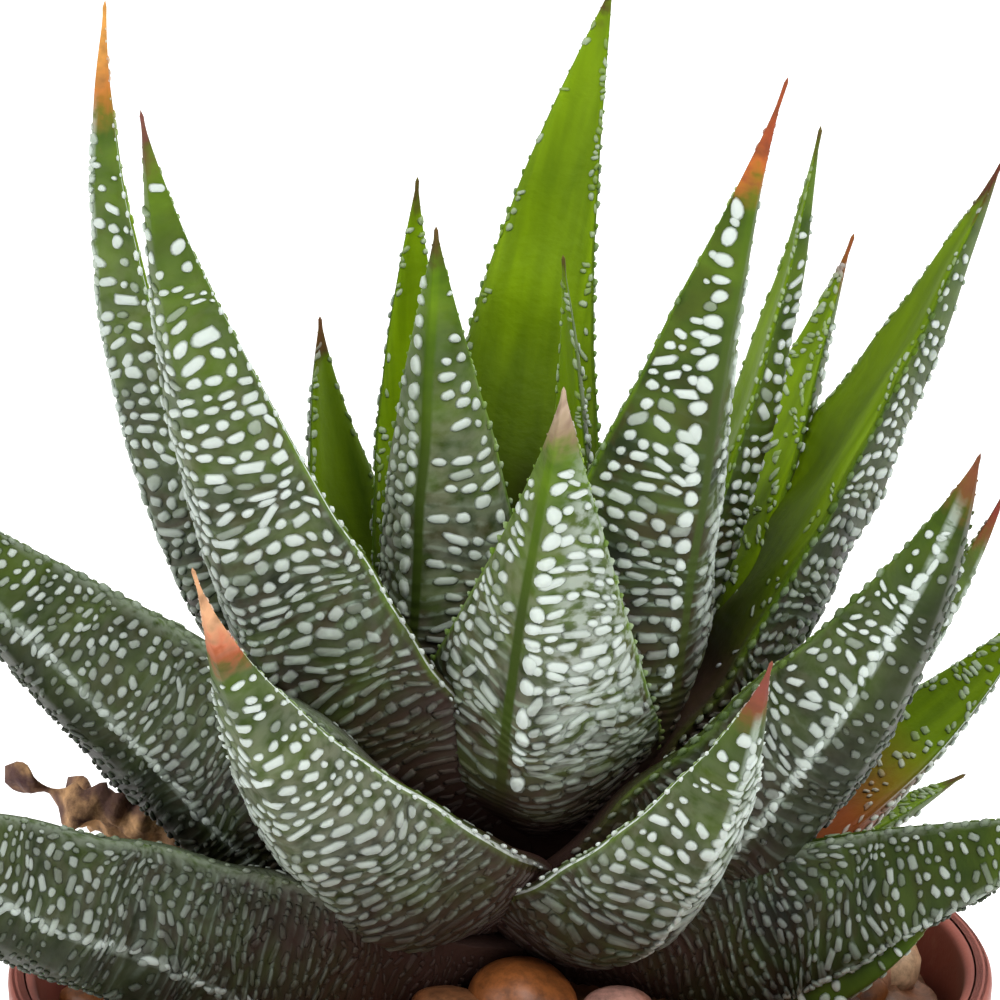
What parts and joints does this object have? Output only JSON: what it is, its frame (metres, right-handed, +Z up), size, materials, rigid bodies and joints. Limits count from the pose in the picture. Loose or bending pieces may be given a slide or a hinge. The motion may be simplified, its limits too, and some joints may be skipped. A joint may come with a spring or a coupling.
{
  "type": "potted haworthia",
  "caption": "Rosette of thick pointed green leaves with rows of white bumps, on gravel in a round tapered plastic pot with a banded rim.",
  "frame": {"origin": "centre of the pot's foot, on the surface that it stands on", "axes": "+Z up along the pot's axis; -Y is the side that the picture shows, +X to its right"},
  "size_m": [0.0844, 0.0605, 0.115],
  "materials": {
    "leaf": "satin",
    "heart_leaf": "satin",
    "dry_leaf": "matte",
    "stem": "matte",
    "soil": "matte",
    "gravel": "satin",
    "pot": "satin"
  },
  "bodies": {
    "root": {"dry_leaf_back": "dry_leaf", "dry_leaf_left": "dry_leaf", "gravel": "gravel", "leaf_back_left": "leaf", "leaf_back_right": "leaf", "leaf_back_tall": "heart_leaf", "leaf_front": "leaf", "leaf_front_left": "leaf", "leaf_front_right": "leaf", "leaf_heart_left": "leaf", "leaf_heart_rear": "heart_leaf", "leaf_heart_right": "heart_leaf", "leaf_left": "leaf", "leaf_low_back": "leaf", "leaf_low_back_left": "leaf", "leaf_low_back_right": "leaf", "leaf_low_far_right": "leaf", "leaf_low_left": "leaf", "leaf_low_right": "leaf", "leaf_rear_left": "leaf", "leaf_right": "leaf", "leaf_right_behind": "heart_leaf", "leaf_right_centre": "leaf", "leaf_right_low": "leaf", "leaf_right_rear": "leaf", "leaf_small_right": "leaf", "leaf_tall_left": "leaf", "leaf_tall_left_rear": "leaf", "leaf_tall_right": "heart_leaf", "leaf_upper_right": "heart_leaf", "pot": "pot", "soil": "soil", "stem": "stem"}
  },
  "joints": []
}
